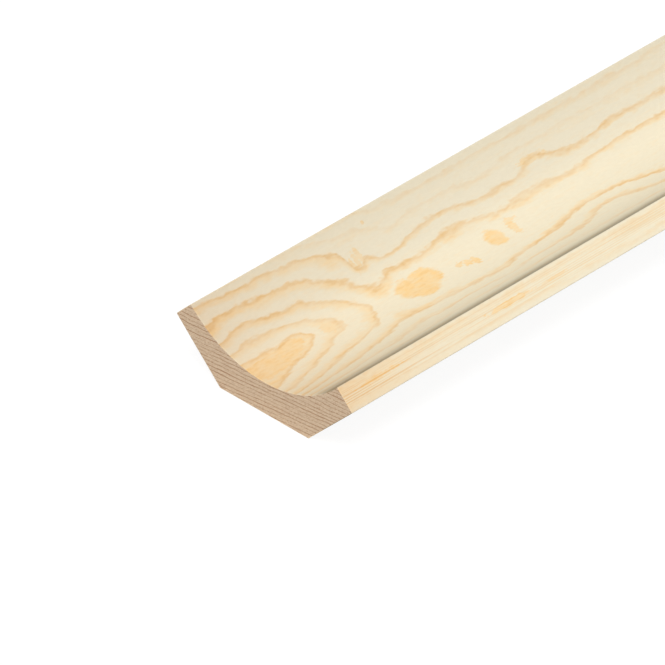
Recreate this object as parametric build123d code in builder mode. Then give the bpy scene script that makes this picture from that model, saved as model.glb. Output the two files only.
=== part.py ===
"""Pine scotia moulding: one planed length of softwood with a cove between two noses.

The stock lies on its back land with the cove facing up. X runs along the grain, Y across the
section and Z up. The origin is the middle of the back land.
"""

import os
from math import sqrt

from build123d import *

# Driving dimensions of the planed section and of the stock, in millimetres.
LENGTH = 2400.0  # length that the stock is sold in
WIDTH = 45.0  # across the section, between the outer arrises of the noses before easing
THICKNESS = 15.0  # from the back land up to the inner arrises of the noses before easing
NOSE = 5.4  # width of each nose, measured square to its fixing face
THROAT = 7.0  # wood left between the back land and the deepest line of the cove
ARRIS = 0.2  # radius that eases the long edges

# The fixing faces and noses stand at 45 degrees to the back land, so each runs as far
# across the section as it runs up.
NOSE_RUN = NOSE / sqrt(2)
FIXING_RUN = THICKNESS - NOSE_RUN
BACK_LAND = WIDTH - 2 * FIXING_RUN

# Corners of the section's right half, as (across, up).
back_corner = (BACK_LAND / 2, 0)
outer_arris = (WIDTH / 2, FIXING_RUN)
inner_arris = (WIDTH / 2 - NOSE_RUN, THICKNESS)
cove_bottom = (0, THROAT)


def across(point):
    """The same corner on the other half of the section."""
    return (-point[0], point[1])


with BuildPart() as scotia_moulding:
    with BuildSketch(Plane.YZ.offset(-LENGTH / 2)) as section:
        with BuildLine():
            # One fixing face and nose, then their twins, then the back land and the cove between.
            Polyline(back_corner, outer_arris, inner_arris)
            mirror(about=Plane.YZ)
            Line(back_corner, across(back_corner))
            ThreePointArc(inner_arris, cove_bottom, across(inner_arris))
        make_face()
        fillet(section.vertices(), radius=ARRIS)
    extrude(amount=LENGTH)

scotia_moulding.part.label = "scotia_moulding"

os.makedirs("parts", exist_ok=True)
export_step(scotia_moulding.part, "parts/scotia_moulding.step")
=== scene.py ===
"""A length of pine scotia moulding, dressed around its CAD model.

Run as a script in Blender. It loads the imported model, puts a finer surface in planed pine in
place of its one solid, and sets a pale stage, soft light and the photograph's camera round it.
Shapes are in metres, and the patterns in the wood are in millimetres.
"""

from math import atan2, cos, degrees, pi, radians, sin, sqrt

import bpy
import numpy as np
from bpy.props import FloatProperty, FloatVectorProperty, PointerProperty
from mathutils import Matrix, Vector


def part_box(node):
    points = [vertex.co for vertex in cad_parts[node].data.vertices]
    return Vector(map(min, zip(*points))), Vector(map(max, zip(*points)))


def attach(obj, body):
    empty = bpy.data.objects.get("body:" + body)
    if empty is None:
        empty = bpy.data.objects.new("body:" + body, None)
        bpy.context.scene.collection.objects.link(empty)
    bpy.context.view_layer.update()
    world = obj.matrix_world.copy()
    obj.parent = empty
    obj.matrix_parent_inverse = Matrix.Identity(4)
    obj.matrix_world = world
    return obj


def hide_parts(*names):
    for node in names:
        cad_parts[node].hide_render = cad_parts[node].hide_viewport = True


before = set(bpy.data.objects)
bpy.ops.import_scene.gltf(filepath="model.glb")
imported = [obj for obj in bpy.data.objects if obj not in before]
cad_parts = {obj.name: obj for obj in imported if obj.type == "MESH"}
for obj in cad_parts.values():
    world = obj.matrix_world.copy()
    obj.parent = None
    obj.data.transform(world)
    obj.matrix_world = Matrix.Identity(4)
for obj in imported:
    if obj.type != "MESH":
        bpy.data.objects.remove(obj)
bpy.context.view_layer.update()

bl_info = {
    "name": "Pine scotia moulding",
    "version": (1, 0, 0),
    "blender": (4, 5, 0),
    "location": "View3D > Sidebar > Moulding",
    "description": "Builds a planed pine scotia moulding and the stage that it lies on",
    "category": "Object",
}

NODE = "scotia_moulding"
MM = 0.001

# Width and height of the picture, in pixels.
PICTURE_SIDE = 665

# Steps round half of the section. From an outer arris there are as many steps to the middle of
# the back land as to the middle of the cove, so that the ends can be ruled between the two.
FLAT_STEPS = 18
NOSE_STEPS = 6
COVE_STEPS = 30
ARRIS_STEPS = 4
OUTER_ARRIS_STEPS = 6

# Steps along the stock, round the eased edge of a sawn end, and up the end itself.
STATION_STEP = 10 * MM
EDGE_STEPS = 3
END_STEPS = 8

# The flat map of the surface: the rows that the sides are cut into, the gap between them, and
# the room beside them where the ends lie.
MAP_ROWS = 5
MAP_GAP = 2 * MM
END_ROOM = 30 * MM
END_LIFT = 20 * MM

# The key lamp: the direction that it shines from, and how wide it looks, in degrees.
KEY_FROM = (-0.34, -0.265, 0.903)
KEY_SPREAD = 30

cad_low, cad_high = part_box(NODE)
LENGTH_MM = (cad_high.x - cad_low.x) / MM


def paint(red, green, blue):
    """A colour as a paint chart gives it, from 0 to 255, in Blender's linear values."""
    chart = np.array([red, green, blue]) / 255
    linear = np.where(chart <= 0.04045, chart / 12.92, ((chart + 0.055) / 1.055) ** 2.4)
    return tuple(float(value) for value in linear)


def length_setting(name, description, default):
    return FloatProperty(name=name, description=description, default=default, unit="LENGTH")


def colour_setting(name, description, default):
    return FloatVectorProperty(
        name=name, description=description, default=default, subtype="COLOR", min=0, max=1
    )


class MouldingSizes(bpy.types.PropertyGroup):
    """Sizes of the planed stock, as in the CAD model."""

    length: length_setting("Length", "Length of the stock", cad_high.x - cad_low.x)
    width: length_setting("Width", "Across the section, between the sharp outer arrises", 0.045)
    thickness: length_setting("Thickness", "From the back land to the sharp inner arrises", 0.015)
    nose: length_setting("Nose", "Width of each nose", 0.0054)
    throat: length_setting("Throat", "Wood left under the deepest line of the cove", 0.007)
    arris: length_setting("Arris", "Radius that eases the long edges", 0.0002)
    sawn_edge: length_setting("Sawn edge", "Radius that eases the edges of the sawn ends", 0.00012)


class PineFinish(bpy.types.PropertyGroup):
    """Colours and surface of planed, unfinished pine, with two tints of painted shade."""

    earlywood: colour_setting("Earlywood", "Pale wood of the spring growth", paint(242, 231, 204))
    latewood: colour_setting("Latewood", "Warm wood of the summer growth", paint(249, 213, 153))
    growth_line: colour_setting(
        "Growth line", "Thin deep line where a year's growth stops", paint(229, 185, 125)
    )
    # Painted shade: makes the far half of the section a little darker and greyer.
    painted_far_side_shade: colour_setting(
        "Painted far side shade", "Tint of the greyer wood towards one nose", paint(243, 244, 247)
    )
    # Painted shade: darkens the cove's near wall beside the near nose, and the wood below it on that
    # side.
    painted_near_wall_shade: colour_setting(
        "Painted near wall shade", "Tint of the browner wood towards the other nose", paint(194, 193, 190)
    )
    aged: colour_setting("Aged", "Tint of the wood by the ends", paint(246, 237, 230))
    thread: colour_setting("Thread", "Tint of the thin lines on the noses", paint(246, 234, 220))
    end_wood: colour_setting("End wood", "Sawn end grain between its lines", paint(217, 193, 164))
    end_line: colour_setting("End line", "Growth lines on the sawn ends", paint(172, 134, 104))
    roughness: FloatProperty(
        name="Roughness", description="Of the planed faces", default=0.62, subtype="FACTOR"
    )


class StageLight(bpy.types.PropertyGroup):
    """The floor and the light."""

    floor: colour_setting("Floor", "Colour of the floor", paint(250, 250, 250))
    key: FloatProperty(name="Key", description="Light of the soft key lamp", default=0.94, min=0)
    sky: FloatProperty(name="Sky", description="Light from all round", default=0.15, min=0)


class Signal:
    """One output of a material's nodes, on which Python's operators add Math nodes."""

    def __init__(self, tree, socket=None):
        self.tree = tree
        self.socket = socket

    def node(self, kind, settings, inputs, output=0):
        """Adds a node: its settings first, then its sockets' values or links, by name or number."""
        made = self.tree.nodes.new(kind)
        for name, value in settings.items():
            setattr(made, name, value)
        for key, value in inputs.items():
            if isinstance(value, Signal):
                self.tree.links.new(value.socket, made.inputs[key])
            else:
                made.inputs[key].default_value = value
        return Signal(self.tree, made.outputs[output])

    def feed(self, node, name):
        """Links this to a socket of a node that is there already."""
        self.tree.links.new(self.socket, node.inputs[name])

    def math(self, operation, *values):
        return self.node("ShaderNodeMath", {"operation": operation}, dict(enumerate(values)))

    def __add__(self, other):
        return self.math("ADD", self, other)

    __radd__ = __add__

    def __sub__(self, other):
        return self.math("SUBTRACT", self, other)

    def __rsub__(self, other):
        return self.math("SUBTRACT", other, self)

    def __mul__(self, other):
        return self.math("MULTIPLY", self, other)

    __rmul__ = __mul__

    def __truediv__(self, other):
        return self.math("DIVIDE", self, other)

    def __neg__(self):
        return self.math("MULTIPLY", self, -1)

    def at_least(self, other):
        return self.math("MAXIMUM", self, other)

    def at_most(self, other):
        return self.math("MINIMUM", self, other)

    def absolute(self):
        return self.math("ABSOLUTE", self)

    def log(self):
        return self.math("LOGARITHM", self, np.e)

    def exp(self):
        return self.math("EXPONENT", self)

    def root(self):
        return self.math("SQRT", self)

    def sine(self):
        return self.math("SINE", self)

    def fraction(self):
        return self.math("FRACT", self)

    def floor(self):
        return self.math("FLOOR", self)

    def step(self, low, high):
        """0 before low and 1 past high, which may be the smaller, with a smooth ramp between."""
        return self.node(
            "ShaderNodeMapRange",
            {"interpolation_type": "SMOOTHSTEP"},
            {"Value": self, "From Min": low, "From Max": high},
        )

    def band(self, start, full, fading, end):
        """1 from full to fading, with smooth ramps from start and to end."""
        return self.step(start, full) * (1 - self.step(fading, end))

    def mix(self, low, high):
        """The colour low where this is 0 and high where it is 1."""
        colours = {6: low, 7: high}
        for number, colour in colours.items():
            if not isinstance(colour, Signal):
                colours[number] = (*colour, 1)
        return self.node("ShaderNodeMix", {"data_type": "RGBA"}, {0: self, **colours}, 2)

    def shade(self, amount, low, high):
        """This colour times another, which goes from low to high as amount goes from 0 to 1."""
        other = amount.mix(low, high)
        settings = {"data_type": "RGBA", "blend_type": "MULTIPLY"}
        return self.node("ShaderNodeMix", settings, {0: 1.0, 6: self, 7: other}, 2)

    def tint(self, amount, colour):
        """This colour, multiplied by another as far as amount says."""
        return self.shade(amount, (1, 1, 1), colour)

    def vector(self, operation, value):
        return self.node("ShaderNodeVectorMath", {"operation": operation}, {0: self, 1: value})

    def part(self, axis):
        return self.node("ShaderNodeSeparateXYZ", {}, {0: self}, axis)

    def noise(self, cell, detail, shift=(0, 0, 0)):
        """Smooth noise from -1 to 1 at this place, whose lumps are about as large as cell."""
        scaled = self.vector("DIVIDE", cell).vector("ADD", shift)
        drawn = self.node(
            "ShaderNodeTexNoise",
            {"noise_dimensions": "3D"},
            {"Vector": scaled, "Scale": 1.0, "Detail": detail, "Roughness": 0.5},
            "Fac",
        )
        return drawn * 2 - 1

    def bump(self, distance):
        """Normals of a surface that this lifts by up to distance."""
        return self.node("ShaderNodeBump", {}, {"Height": self, "Distance": distance})


def new_material(name):
    """An empty node material, its Principled shader, and a Signal of places in millimetres."""
    material = bpy.data.materials.new(name)
    material.use_nodes = True
    tree = material.node_tree
    shader = tree.nodes["Principled BSDF"]
    place = Signal(tree).node("ShaderNodeTexCoord", {}, {}, "Object")
    settings = {"operation": "SCALE"}
    place_mm = place.node("ShaderNodeVectorMath", settings, {0: place, "Scale": 1 / MM})
    return material, shader, place_mm


# Where the growth layers swell or dip near the end that the photograph shows: distance
# from that end, distance across from the middle, half length and half width of the swelling,
# all in millimetres, and its rise in layers.
SWELLINGS = (
    # The tall core of the figure by the end, with its tip and its flanks.
    (3, 2.2, 25, 12, 2.60),
    (12, 3.6, 8, 4, 0.45),
    (13, 4.2, 4, 3, 0.28),
    (9.5, 5.3, 1.5, 1.2, -0.25),
    (14, 11.8, 5, 2.8, -0.18),
    (17, -3.0, 11, 5, -0.60),
    (18, 0.2, 2.5, 2.0, -0.20),
    (0, 12.0, 3, 5.0, -0.40),
    (0, 6.5, 4, 3.0, 0.20),
    (0, -3.0, 2.5, 2.0, 0.25),
    (0, -6.0, 6, 6, 0.45),
    # The layers over it, towards the far nose.
    (0, 18.0, 26, 8, 1.35),
    (0, 18.0, 6, 3, 0.35),
    (20, 18.5, 15, 5, 0.45),
    (21, 13.5, 10, 6, 0.40),
    (29, 16.3, 6, 2.5, 0.42),
    (32, 9.8, 2.0, 1.8, 0.20),
    (32.5, 14.6, 2.5, 1.6, 0.20),
    (33.5, 13.2, 1.6, 2.2, 0.35),
    # The dip past its tip.
    (30, 2.8, 2.5, 2.5, 0.15),
    (31, -1.5, 3, 2.2, -0.30),
    (31, -6.5, 7, 3, -0.55),
    (33, 1.0, 4, 5, -0.40),
    (35, 6.0, 7, 6, -0.65),
    (35.6, 11.2, 2.0, 1.8, -0.25),
    (36, 13.5, 5, 4, -0.40),
    # The upper layers further along.
    (38.4, 11.6, 1.3, 1.6, 0.28),
    (39, 16.5, 5, 3, 0.50),
    (40, 9.0, 2.0, 2.0, 0.22),
    (43, 11.0, 4.5, 2.5, -0.50),
    (47.8, 14.5, 3, 2.5, -0.38),
    (48.5, 8.6, 3, 2.2, -0.22),
    (58, 9.5, 5, 2.5, 0.20),
    (60, 13.0, 8, 2.5, 0.10),
    (68, 13.8, 5, 2.0, -0.22),
    (70, 11.0, 8, 3, -0.30),
    (79, 11.5, 2.5, 2.5, -0.12),
    (83.5, 12.6, 3.5, 3, 0.30),
    (88, 8.0, 5, 2.5, -0.25),
    (95, 10.5, 6, 3, -0.35),
    # The lower layers further along.
    (54.5, -7.5, 5, 5, 0.42),
    (60, -11.0, 40, 4, -0.45),
    (73, 2.0, 8, 5, -0.12),
    (86, -5.2, 11, 4, -1.10),
)

# Eyes, where a face grazes a layer of latewood: place and half sizes as above, depth of colour,
# and how frayed the edge is.
EYES = (
    # The core by the end, and a small one past it.
    (3, 2.4, 11.5, 2.9, 0.7, 0.3),
    (11, 4.1, 4.0, 2.0, 0.7, 0.3),
    (20.3, 3.6, 2.0, 2.0, 0.5, 0.5),
    # The large eye and those that follow it.
    (40.2, 1.7, 3.5, 3.0, 0.85, 0.2),
    (45.0, 2.0, 3.0, 2.9, 0.85, 0.2),
    (42.2, -0.3, 3.4, 2.4, 0.85, 0.2),
    (43.2, 3.2, 2.8, 1.6, 0.85, 0.2),
    (51.8, 0.9, 1.1, 0.7, 0.6, 1.0),
    (53.6, 0.2, 1.2, 0.9, 0.7, 1.0),
    (55.2, -0.2, 0.8, 1.6, 0.7, 1.0),
    (62.9, 2.1, 2.3, 2.8, 0.8, 0.2),
    (67.9, 2.4, 1.0, 2.6, 0.6, 0.9),
    (68.5, 4.2, 2.0, 0.5, 0.5, 0.9),
    # Dashes and a speck in the upper layers.
    (35.1, 11.4, 0.6, 1.7, 0.55, 0.8),
    (36.3, 12.0, 0.6, 1.8, 0.55, 0.8),
    (37.5, 12.7, 0.6, 1.8, 0.5, 0.8),
    (42.6, 16.9, 0.4, 0.35, 0.6, 0.2),
    (83.5, 12.5, 4.5, 0.8, 0.6, 0.6),
    # Long thin ones on the near nose.
    (9.0, -20.1, 6.0, 0.35, 0.5, 1.2),
    (43.0, -20.4, 6.5, 0.42, 0.7, 0.6),
    (55.0, -20.5, 3.0, 0.25, 0.4, 0.8),
)

# Where the layers show faintly: place and half sizes as above, and how much of their colour goes.
QUIET = (
    (42, -12.0, 55, 5.5, 0.7),
    (75, 7.5, 22, 2.2, 0.5),
    (9, -9.9, 12, 2.2, 0.55),
)


def from_near_end(place):
    """Distance in millimetres from the end that the photograph shows."""
    return place.part(0) + LENGTH_MM / 2


def square_from(along, across, spot):
    """Square of the distance from a spot's middle, counted in its half length and half width."""
    x, y, half_length, half_width = spot
    dx = (along - x) / half_length
    dy = (across - y) / half_width
    return dx * dx + dy * dy


def nose_faces(place):
    """1 on the two noses, which lie beside the cove and above the outer arrises, and 0 elsewhere."""
    return place.part(1).absolute().step(18.4, 18.9) * place.part(2).step(10.9, 11.3)


def upper_wood(place):
    """1 in the wood that the cove and the noses cut, and 0 by the back land."""
    return place.part(2).step(3, 5)


def growth_layers(place):
    """How many years' growth lie above this place in the wood.

    The layers lie nearly flat, with a small tilt across the section. They get thinner downwards,
    so the count goes as the logarithm of the height above the cove's deepest line, and evenly
    below it. Swellings near the photographed end, and slow noise along the rest of the stock,
    lift or sink the layers, and that makes the figure where a face cuts through them.
    """
    tilt = 0.045
    cove_floor = 6.97
    over_floor = 2.66
    per_mm = 0.77
    thinning = 10
    along = from_near_end(place)
    across = place.part(1)
    height = place.part(2) - tilt * across - cove_floor
    above = (1 + height.at_least(0) / thinning).log() * (thinning * per_mm)
    layers = over_floor - above - height.at_most(0) * per_mm
    for *spot, rise in SWELLINGS:
        layers = layers + (-square_from(along, across, spot)).exp() * rise
    past_photo = along.step(85, 150)
    layers = layers + place.noise((110, 15, 12), 1.0) * past_photo * 2.2
    layers = layers + place.noise((7, 2.6, 2.6), 2.0, (3, 1, 7)) * 0.24
    return layers + place.noise((1.9, 1.0, 1.0), 1.0, (6, 2, 5)) * 0.16


def eyes(place):
    """Patches of latewood: the depth of colour inside the EYES' ellipses, with ragged edges."""
    ragged = place.noise((3.0, 1.0, 1.0), 3.0, (4, 9, 1)) * 0.32
    frayed = place.noise((1.0, 0.5, 0.5), 2.0, (2, 6, 3))
    along = from_near_end(place)
    across = place.part(1)
    patches = 0
    for *spot, depth, fray in EYES:
        out = square_from(along, across, spot).root() + ragged + frayed * fray
        patches = ((1 - out.step(0.70, 1.10)) * depth).at_least(patches)
    return patches * upper_wood(place)


def faintness(place, years, nose):
    """How much of the layers' colour goes, in the outermost wood, by QUIET and on the noses."""
    along = from_near_end(place)
    across = place.part(1)
    shown = upper_wood(place)
    faint = (1 - years.step(0.4, 1.0)) * 0.6
    for *spot, share in QUIET:
        faint = faint.at_least((-square_from(along, across, spot)).exp() * shown * share)
    return faint.at_least(nose * 0.75)


def year_tones(place, nose, by_end):
    """Warmth and deep line of the growth layers at this place, and how bold both are.

    Going down, a layer begins with the thin deep line where its growth stopped, and its warm tone
    fades until the next line. Past the figure by the near end the tone fades sooner and the line
    is deeper. Strength goes in turns of four years, from weak to strong and back, and layers are
    bolder by the ends.
    """
    years = growth_layers(place) + 0.3
    year = years.fraction() - 0.3
    past_figure = from_near_end(place).step(24, 44)
    late = year.band(-0.18, 0.04, 0.14, 0.61 - past_figure * 0.25)
    line = year.band(-0.13, 0.00, 0.03, 0.22) * (past_figure * 0.12 + 0.66)
    strength = ((years.floor() - 1) * (pi / 2)).sine() * 0.2 + 0.8
    patchy = place.noise((9, 2.5, 2.5), 2.0, (5, 5, 5))
    bold = (by_end * 0.25 + patchy * 0.45 + 0.54) * strength
    return late, line, bold * (1 - faintness(place, years, nose))


def planed_pine(finish):
    """Planed pine: growth layers cut by the faces, fibres along X, and softened arrises, with
    painted shade across the section.
    """
    material, shader, place = new_material("planed_pine")
    along = from_near_end(place)
    across = place.part(1)
    aside = across.absolute()
    nose = nose_faces(place)
    aged_reach = 18
    by_end = (-(along.at_most(LENGTH_MM - along) / aged_reach)).exp()
    late, line, bold = year_tones(place, nose, by_end)
    patches = eyes(place)
    fibre = place.noise((7, 0.16, 0.16), 2.0, (1, 8, 2))
    streak = place.noise((40, 0.9, 0.9), 2.0, (2, 3, 9))
    mottle = place.noise((2.0, 0.7, 0.7), 3.0, (9, 2, 4))
    lumps = place.noise((2.5, 2.0, 2.0), 2.0, (7, 7, 1))
    grain = place.noise((1.1, 0.5, 0.5), 2.0, (8, 4, 6)) * 0.5 + 0.5
    # Thin lines along the grain, where a nose cuts many layers on edge.
    thread = place.noise((30, 0.20, 0.20), 2.0, (3, 7, 7)).step(-0.05, 0.25) * nose
    thread = thread * aside.band(18.8, 19.8, 21.0, 22.0)
    # The noses are warmer by the ends, but less so towards their outer arrises.
    warm_nose = nose * by_end * (0.2 - aside.step(21.2, 22.2) * 0.17)
    warm = (late * bold).at_least(patches * (1 + lumps * 0.5))
    warm = warm + streak * 0.14 + fibre * 0.06 + mottle * 0.22 + thread * 0.32 + warm_nose
    warm = warm.at_least(0).at_most(1)
    colour = warm.mix(tuple(finish.earlywood), tuple(finish.latewood))
    deep = line * bold * (1 + mottle) + patches * (mottle * 0.6).at_least(0)
    colour = deep.mix(colour, tuple(finish.growth_line))
    colour = colour.tint(by_end, tuple(finish.aged))
    colour = colour.tint(thread * (by_end + 0.45), tuple(finish.thread))
    # Fine grain makes the wood a little darker or lighter.
    colour = colour.shade(grain, (0.96, 0.957, 0.95), (1.03, 1.034, 1.04))
    # Painted shade: the far half of the section, from the cove's middle out, is a little darker and
    # greyer.
    colour = colour.tint(across.step(3, 12), tuple(finish.painted_far_side_shade))
    # Painted shade: darker on the near side of the section past the cove's near wall, but not on the
    # near nose's face.
    colour = colour.tint(across.step(-11.8, -17.2) * (1 - nose), tuple(finish.painted_near_wall_shade))
    wear = colour.node("ShaderNodeAttribute", {"attribute_name": "wear"}, {}, "Fac")
    colour = (wear * 0.35).mix(colour, tuple(finish.earlywood))
    rough = finish.roughness - late * 0.06 + fibre * 0.05
    relief = late * 0.5 + fibre * 0.35 + streak * 0.3
    colour.feed(shader, "Base Color")
    rough.feed(shader, "Roughness")
    relief.bump(0.03 * MM).feed(shader, "Normal")
    shader.inputs["Specular IOR Level"].default_value = 0.0
    return material


def sawn_end_grain(finish):
    """The sawn ends: growth lines on edge, open pores between them, and the saw's scratches."""
    material, shader, place = new_material("sawn_end_grain")
    tilt = 0.096
    line_spacing = 0.84
    # Tilted places, so that all the patterns run along the lines.
    lift = place.node("ShaderNodeCombineXYZ", {}, {2: place.part(1) * tilt})
    place = place.vector("ADD", lift)
    layers = place.part(2) / line_spacing + place.noise((40, 12, 4), 1.0) * 0.6
    layers = layers + place.noise((40, 2.0, 0.6), 2.0, (4, 1, 1)) * 0.18
    year = (layers + 0.5).fraction() - 0.5
    number = (layers + 0.5).floor()
    bold = number.node(
        "ShaderNodeTexWhiteNoise", {"noise_dimensions": "1D"}, {"W": number}, "Value"
    )
    broken = (place.noise((40, 6.0, 0.8), 2.0, (8, 3, 2)) * 1.1 + 0.85).at_least(0)
    line = year.band(-0.20, -0.04, 0.02, 0.11) * (bold * bold + 0.45) * broken
    pores = place.noise((40, 0.45, 0.30), 2.0, (2, 2, 2))
    mottle = place.noise((40, 2.5, 0.22), 2.0, (7, 1, 5))
    dark = (line * 1.15 + pores * 0.80 + mottle * 0.60 + 0.14).at_least(0).at_most(1)
    scratches = place.noise((40, 8, 0.2), 2.0, (1, 6, 3))
    relief = pores * 0.5 + scratches * 0.5 - line * 0.4
    dark.mix(tuple(finish.end_wood), tuple(finish.end_line)).feed(shader, "Base Color")
    relief.bump(0.06 * MM).feed(shader, "Normal")
    shader.inputs["Roughness"].default_value = 0.85
    shader.inputs["Specular IOR Level"].default_value = 0.15
    return material


def round_run(centre, radius, first, last, steps, facing=1):
    """A round stretch of the outline, from one angle to another in degrees.

    A point is centre + radius (cos a, sin a), and its outward normal is facing (cos a, sin a).
    Wear rises from 0 at both ends of an arris to 1 in its middle, as sin does over half a turn.
    It is 0 on a hollow stretch, which faces its centre.
    """
    angle = np.radians(np.linspace(first, last, steps + 1))
    out = np.stack([np.cos(angle), np.sin(angle)], axis=1)
    wear = np.sin(np.linspace(0, pi, steps + 1)) * (facing > 0)
    return np.column_stack([np.array(centre) + radius * out, facing * out, wear])


def straight_run(start, end, steps):
    """A straight stretch between two rows of round stretches, with their normals and no wear."""
    share = np.linspace(0, 1, steps + 1)[:, None]
    return (start + share * (end - start)) * (1, 1, 1, 1, 0)


def section_outline(sizes):
    """The section's closed outline, anticlockwise from the middle of the back land.

    Each row holds across, up, the outward normal across and up, and wear. Easing moves every face
    in by the arris radius, which gives the centres of the eased arrises, and out again. Half of
    the outline is made, and its mirror image closes it.
    """
    r = sizes.arris
    half_width = sizes.width / 2
    fixing_run = sizes.thickness - sizes.nose / sqrt(2)
    half_back = half_width - fixing_run
    half_mouth = half_width - sizes.nose / sqrt(2)
    sag = sizes.thickness - sizes.throat
    cove_radius = (half_mouth**2 + sag**2) / (2 * sag)
    cove_centre = (0, sizes.throat + cove_radius)
    # The inner arris's centre is on the nose's line moved in by r, where it meets the cove's
    # circle grown by r, s up the nose from the outer arris.
    p = half_width - r / sqrt(2)
    q = cove_centre[1] - fixing_run + r / sqrt(2)
    s = (p + q - sqrt((p + q) ** 2 - 2 * (p**2 + q**2 - (cove_radius + r) ** 2))) / 2
    inner_centre = (p - s, cove_centre[1] - q + s)
    leaving = degrees(atan2(q - s, s - p))
    back_centre = (half_back - r * (sqrt(2) - 1), r)
    outer_centre = (half_width - r * sqrt(2), fixing_run)
    back_arris = round_run(back_centre, r, -90, -45, ARRIS_STEPS)
    outer_arris = round_run(outer_centre, r, -45, 45, OUTER_ARRIS_STEPS)
    inner_arris = round_run(inner_centre, r, 45, leaving, ARRIS_STEPS)
    cove = round_run(cove_centre, cove_radius, leaving - 180, -90, COVE_STEPS, -1)
    middle = np.array([0, 0, 0, -1, 0])
    runs = (
        straight_run(middle, back_arris[0], FLAT_STEPS),
        back_arris,
        straight_run(back_arris[-1], outer_arris[0], FLAT_STEPS),
        outer_arris,
        straight_run(outer_arris[-1], inner_arris[0], NOSE_STEPS),
        inner_arris,
        cove,
    )
    half = np.concatenate([run[:-1] for run in runs] + [cove[-1:]])
    return np.concatenate([half, half[-2:0:-1] * (-1, 1, -1, 1, 1)])


def stations(sizes):
    """Places along the stock: X, how far the outline is drawn in, and how far normals lean to X.

    The middle is evenly spaced. At each end the outline turns in along a quarter circle: at angle
    a from the end, X is short of it by edge (1 - sin a) and the outline is in by edge (1 - cos a).
    """
    edge = sizes.sawn_edge
    half = sizes.length / 2
    angle = np.linspace(pi / 2, 0, EDGE_STEPS + 1)
    x = edge * (1 - np.sin(angle)) - half
    inset = edge * (1 - np.cos(angle))
    lean = np.sin(angle)
    even = np.arange(STATION_STEP - half, half - STATION_STEP / 2, STATION_STEP)
    return (
        np.concatenate([x, even, -x[::-1]]),
        np.concatenate([inset, 0 * even, inset[::-1]]),
        np.concatenate([-lean, 0 * even, lean[::-1]]),
    )


def with_x(x, across_and_up):
    """Rings of across and up, with each ring's X put before them."""
    first = np.broadcast_to(x[:, None, None], across_and_up.shape[:2] + (1,))
    return np.concatenate([first, across_and_up], axis=2)


def swept_sides(outline, x, inset, lean):
    """Points and normals of the outline carried along X, one ring for each X.

    P(x, s) = (x, outline(s) - inset(x) normal(s)). Normals lean to X by lean(x), and keep a
    length of 1.
    """
    points = outline[:, :2]
    outward = outline[:, 2:4]
    drawn = points - inset[:, None, None] * outward
    upright = np.sqrt(1 - lean**2)[:, None, None] * outward
    return with_x(x, drawn), with_x(lean, upright)


def grid_corners(grid):
    """The four corners of every cell of a grid of vertex numbers or of points."""
    return np.stack([grid[:-1, :-1], grid[:-1, 1:], grid[1:, 1:], grid[1:, :-1]], axis=2)


def outline_girth(outline):
    """Distance round the outline to each of its points, and at last to the first one again."""
    points = outline[:, :2]
    steps = np.linalg.norm(np.diff(points, axis=0, append=points[:1]), axis=1)
    return np.concatenate([[0], np.cumsum(steps)])


def side_map(x, girth, length):
    """Corners of the sides' faces on the flat map, cut across into rows of equal length.

    u is the distance along X from the start of the row, and v is the distance round the outline
    above the rows before it.
    """
    share = (x + length / 2) / length * MAP_ROWS
    row = np.floor((share[1:] + share[:-1]) / 2)
    u = np.stack([share[:-1], share[:-1], share[1:], share[1:]], axis=1) - row[:, None]
    u = u * length / MAP_ROWS
    v = np.stack([girth[:-1], girth[1:], girth[1:], girth[:-1]], axis=1)
    v = v[None] + row[:, None, None] * (girth[-1] + MAP_GAP)
    return np.stack([np.broadcast_to(u[:, None], v.shape), v], axis=-1).reshape(-1, 2)


def end_grid(ring, ring_numbers, start):
    """Points of one sawn end, and their vertex numbers.

    The end is ruled between the lower and upper halves of its ring:
    E(c, k) = lower(c) + k (upper(c) - lower(c)), whose two sides shrink to the outer arrises.
    The ring's points keep their numbers, and those inside it are numbered from start.
    """
    quarter = len(ring) // 4
    columns = np.arange(2 * quarter + 1)
    lower = (quarter - columns) % len(ring)
    upper = quarter + columns
    share = np.linspace(0, 1, END_STEPS + 1)[:, None, None]
    points = ring[lower] + share * (ring[upper] - ring[lower])
    numbers = np.tile(ring_numbers[lower], (END_STEPS + 1, 1))
    numbers[-1] = ring_numbers[upper]
    inside = numbers[1:-1, 1:-1]
    inside[:] = start + np.arange(inside.size).reshape(inside.shape)
    return points, numbers


def end_map(points, way, length):
    """An end's points on the flat map: as it is seen from outside, beside the sides' rows."""
    flat = np.stack([-way * points[..., 1], points[..., 2]], axis=-1)
    return flat + (length / MAP_ROWS + END_ROOM, END_LIFT + END_ROOM * (way > 0))


def end_corners(grid, way):
    """Corners of an end's faces that have four, and of those that have three.

    The first and last columns have a side of no length, so they have faces with three corners.
    The far end's faces turn the other way round, so that they point outwards too.
    """
    corners = grid_corners(grid)
    four = corners[:, 1:-1, [0, 1, 2, 3][::-way]]
    first = corners[:, 0, [0, 1, 2][::-way]]
    last = corners[:, -1, [0, 1, 3][::-way]]
    return four.reshape(-1, *four.shape[2:]), np.concatenate([first, last])


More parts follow.
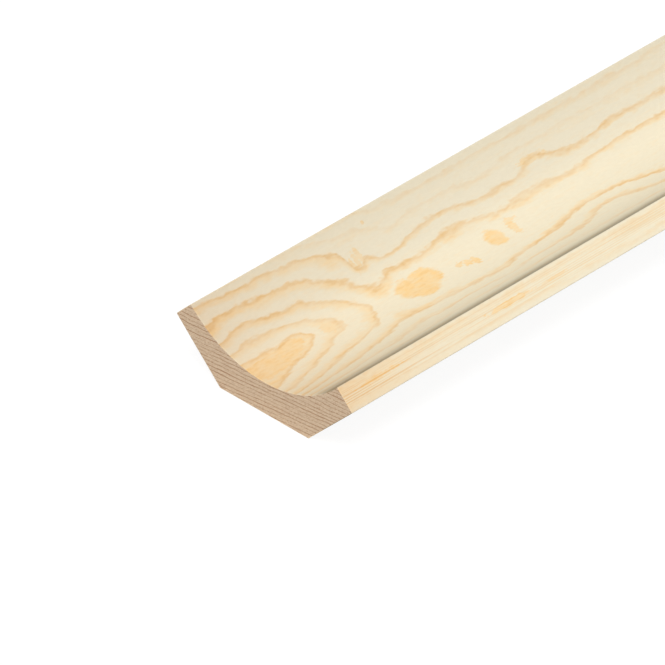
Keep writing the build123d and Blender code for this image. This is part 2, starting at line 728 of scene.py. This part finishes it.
def moulding_mesh(sizes):
    """The moulding's closed surface: the outline carried along X, with both ends filled in."""
    outline = section_outline(sizes)
    x, inset, lean = stations(sizes)
    girth = outline_girth(outline)
    sides, side_normals = swept_sides(outline, x, inset, lean)
    numbers = np.arange(len(x) * len(outline)).reshape(len(x), len(outline))
    round_and_back = np.concatenate([numbers, numbers[:, :1]], axis=1)
    points = [sides.reshape(-1, 3)]
    normals = [side_normals.reshape(-1, 3)]
    fours = [grid_corners(round_and_back).reshape(-1, 4)]
    four_maps = [side_map(x, girth, sizes.length)]
    threes = []
    three_maps = []
    for ring, way in ((0, -1), (-1, 1)):
        start = sum(len(some) for some in points)
        end_points, end_numbers = end_grid(sides[ring], numbers[ring], start)
        inside = end_points[1:-1, 1:-1].reshape(-1, 3)
        points.append(inside)
        normals.append(np.broadcast_to((way, 0, 0), inside.shape))
        four, three = end_corners(end_numbers, way)
        four_map, three_map = end_corners(end_map(end_points, way, sizes.length), way)
        fours.append(four)
        threes.append(three)
        four_maps.append(four_map.reshape(-1, 2))
        three_maps.append(three_map.reshape(-1, 2))
    faces = np.concatenate(fours).tolist() + np.concatenate(threes).tolist()
    mesh = bpy.data.meshes.new(NODE)
    mesh.from_pydata(np.concatenate(points), [], faces)
    # The sides take the first material, and the ends the second.
    slots = np.ones(len(faces), int)
    slots[: len(fours[0])] = 0
    mesh.polygons.foreach_set("material_index", slots)
    mesh.polygons.foreach_set("use_smooth", np.ones(len(faces), bool))
    flat_map = np.concatenate(four_maps + three_maps) / (MAP_ROWS * (girth[-1] + MAP_GAP))
    mesh.uv_layers.new(name="OFBake").data.foreach_set("uv", flat_map.ravel())
    wear = np.zeros(len(mesh.vertices))
    wear[: numbers.size] = np.tile(outline[:, 4], len(x))
    mesh.attributes.new("wear", "FLOAT", "POINT").data.foreach_set("value", wear)
    mesh.validate()
    mesh.normals_split_custom_set_from_vertices(np.concatenate(normals))
    return mesh


class SCOTIA_OT_moulding(bpy.types.Operator):
    """Make the moulding's surface in planed pine, in place of the CAD solid"""

    bl_idname = "scotia.moulding"
    bl_label = "Make moulding"

    def execute(self, context):
        finish = context.scene.scotia_finish
        mesh = moulding_mesh(context.scene.scotia_sizes)
        mesh.materials.append(planed_pine(finish))
        mesh.materials.append(sawn_end_grain(finish))
        piece = bpy.data.objects.new("planed_moulding", mesh)
        context.scene.collection.objects.link(piece)
        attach(piece, "root")
        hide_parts(NODE)
        return {"FINISHED"}


def seen_directly(tree):
    """A Signal that is 1 for what the camera sees, itself or by a mirror or glass."""
    start = Signal(tree)
    rays = [
        start.node("ShaderNodeLightPath", {}, {}, name)
        for name in ("Is Camera Ray", "Is Glossy Ray", "Is Transmission Ray")
    ]
    return rays[0].at_least(rays[1]).at_least(rays[2])


def make_world(light):
    """White where it is seen, and an even soft light otherwise."""
    world = bpy.data.worlds.new("studio")
    bpy.context.scene.world = world
    world.use_nodes = True
    tree = world.node_tree
    tree.nodes.clear()
    seen = seen_directly(tree)
    white = (1, 1, 1, 1)
    soft = seen.node("ShaderNodeBackground", {}, {"Color": white, "Strength": light.sky})
    backdrop = seen.node("ShaderNodeBackground", {}, {"Color": white, "Strength": 1.0})
    mixed = seen.node("ShaderNodeMixShader", {}, {0: seen, 1: soft, 2: backdrop})
    mixed.feed(tree.nodes.new("ShaderNodeOutputWorld"), "Surface")


def make_floor(light):
    """A pale floor just under the stock, mostly white where it is seen, with a soft shadow."""
    reach = 40
    level = cad_low.z - 0.1 * MM
    whiteness = 0.88
    glow = 1.06
    sides = ((-reach, -reach), (reach, -reach), (reach, reach), (-reach, reach))
    mesh = bpy.data.meshes.new("floor")
    mesh.from_pydata([(x, y, level) for x, y in sides], [], [(0, 1, 2, 3)])
    material = bpy.data.materials.new("pale_floor")
    material.use_nodes = True
    tree = material.node_tree
    tree.nodes.clear()
    seen = seen_directly(tree)
    lit = seen.node("ShaderNodeBsdfDiffuse", {}, {"Color": (*light.floor, 1)})
    white = seen.node("ShaderNodeEmission", {}, {"Strength": glow})
    mixed = seen.node("ShaderNodeMixShader", {}, {0: seen * whiteness, 1: lit, 2: white})
    mixed.feed(tree.nodes.new("ShaderNodeOutputMaterial"), "Surface")
    mesh.materials.append(material)
    floor = bpy.data.objects.new("floor", mesh)
    bpy.context.scene.collection.objects.link(floor)


def make_lamp(name, light, spread, source):
    """A far soft lamp in a direction, whose light on a surface square to it is as given."""
    lamp = bpy.data.lights.new(name, "SUN")
    lamp.energy = light * pi
    lamp.angle = radians(spread)
    placed = bpy.data.objects.new(name, lamp)
    bpy.context.scene.collection.objects.link(placed)
    placed.rotation_euler = Vector(source).to_track_quat("Z", "Y").to_euler()


def make_camera():
    """A long lens on the near end, from the photograph's side and height.

    The lens is set by the picture's focal length in pixels. The aim is off the near end's back
    land, to the right and up, so that the end lies low and left in the picture.
    """
    azimuth = radians(-44.83)
    elevation = radians(35.36)
    distance = 1.5804
    focal_pixels = 8704.5
    aim_right = 0.012535
    aim_up = 0.014588
    near_end = Vector((cad_low.x, 0, 0))
    back = Vector(
        (sin(azimuth) * cos(elevation), -cos(azimuth) * cos(elevation), sin(elevation))
    )
    right = Vector((cos(azimuth), sin(azimuth), 0))
    up = back.cross(right)
    camera = bpy.data.objects.new("camera", bpy.data.cameras.new("camera"))
    camera.data.sensor_width = 36
    camera.data.lens = focal_pixels * camera.data.sensor_width / PICTURE_SIDE
    camera.data.clip_end = 100
    camera.location = near_end + back * distance
    aim = near_end + right * aim_right + up * aim_up
    camera.rotation_euler = (aim - camera.location).to_track_quat("-Z", "Y").to_euler()
    bpy.context.scene.collection.objects.link(camera)
    bpy.context.scene.camera = camera


class SCOTIA_OT_stage(bpy.types.Operator):
    """Make the floor, the light and the camera"""

    bl_idname = "scotia.stage"
    bl_label = "Make stage"

    def execute(self, context):
        light = context.scene.scotia_light
        context.scene.view_settings.view_transform = "Standard"
        make_world(light)
        make_floor(light)
        make_lamp("key", light.key, KEY_SPREAD, KEY_FROM)
        make_camera()
        return {"FINISHED"}


class SCOTIA_PT_panel(bpy.types.Panel):
    """Sizes, colours and light of the moulding"""

    bl_idname = "SCOTIA_PT_panel"
    bl_label = "Scotia moulding"
    bl_space_type = "VIEW_3D"
    bl_region_type = "UI"
    bl_category = "Moulding"

    def draw(self, context):
        scene = context.scene
        for group in (scene.scotia_sizes, scene.scotia_finish, scene.scotia_light):
            box = self.layout.box()
            for name in group.__annotations__:
                box.prop(group, name)
        self.layout.operator(SCOTIA_OT_moulding.bl_idname)
        self.layout.operator(SCOTIA_OT_stage.bl_idname)


CLASSES = (
    MouldingSizes,
    PineFinish,
    StageLight,
    SCOTIA_OT_moulding,
    SCOTIA_OT_stage,
    SCOTIA_PT_panel,
)


def register():
    for each in CLASSES:
        bpy.utils.register_class(each)
    bpy.types.Scene.scotia_sizes = PointerProperty(type=MouldingSizes)
    bpy.types.Scene.scotia_finish = PointerProperty(type=PineFinish)
    bpy.types.Scene.scotia_light = PointerProperty(type=StageLight)


def unregister():
    del bpy.types.Scene.scotia_light
    del bpy.types.Scene.scotia_finish
    del bpy.types.Scene.scotia_sizes
    for each in reversed(CLASSES):
        bpy.utils.unregister_class(each)


def main():
    register()
    bpy.ops.scotia.moulding()
    bpy.ops.scotia.stage()


if __name__ == "__main__":
    main()
